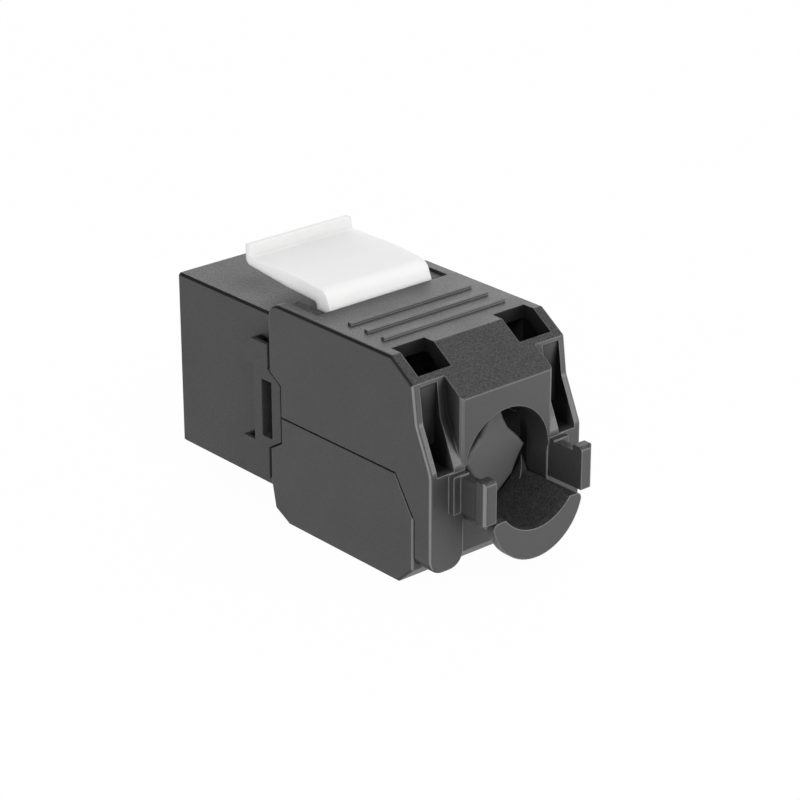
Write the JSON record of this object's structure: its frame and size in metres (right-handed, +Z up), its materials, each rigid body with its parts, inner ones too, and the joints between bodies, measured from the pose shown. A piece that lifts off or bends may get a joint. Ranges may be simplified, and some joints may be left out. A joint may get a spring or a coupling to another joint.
{
  "type": "keystone jack",
  "caption": "Snap-in keystone network jack with a plug port in front, a white panel latch on top and two hinged rear covers that close round the cable.",
  "frame": {"origin": "centre of the plug port in the plane of the front face", "axes": "+X is the width, to the left when seen from the rear; +Y runs from the front face to the cable end; +Z is up, with the latch on top"},
  "size_m": [0.0166, 0.038, 0.0225],
  "materials": {
    "housing_black": "fine grain",
    "cover_black": "fine grain",
    "latch_white": "satin",
    "carrier_black": "plain",
    "manager_black": "satin",
    "board_green": "solder mask on glass laminate",
    "contact_gold": "gold plated spring bronze",
    "terminal_tin": "tin plated spring bronze"
  },
  "bodies": {
    "core": {"front_housing": "housing_black", "contact_carrier": "carrier_black", "circuit_board": "board_green", "idc_holder": "carrier_black", "wire_manager": "manager_black", "contact_1": "contact_gold", "contact_2": "contact_gold", "contact_3": "contact_gold", "contact_4": "contact_gold", "contact_5": "contact_gold", "contact_6": "contact_gold", "contact_7": "contact_gold", "contact_8": "contact_gold", "idc_terminal_1": "terminal_tin", "idc_terminal_2": "terminal_tin", "idc_terminal_3": "terminal_tin", "idc_terminal_4": "terminal_tin", "idc_terminal_5": "terminal_tin", "idc_terminal_6": "terminal_tin", "idc_terminal_7": "terminal_tin", "idc_terminal_8": "terminal_tin"},
    "latch": {"keystone_latch": "latch_white"},
    "upper_shell": {"upper_cover": "cover_black"},
    "lower_shell": {"lower_cover": "cover_black"}
  },
  "joints": [
    {"name": "latch_press", "type": "hinge", "parent": "core", "child": "latch", "pos_m": [0, 0.0173, 0.0083], "axis": [1, 0, 0], "range_deg": [0, 10], "stiffness_Nm_per_rad": 0.1},
    {"name": "upper_cover_open", "type": "hinge", "parent": "core", "child": "upper_shell", "pos_m": [0, 0.0149, 0.00835], "axis": [1, 0, 0], "range_deg": [0, 75]},
    {"name": "lower_cover_open", "type": "hinge", "parent": "core", "child": "lower_shell", "pos_m": [0, 0.0152, -0.0068], "axis": [1, 0, 0], "range_deg": [-45, 0]}
  ]
}
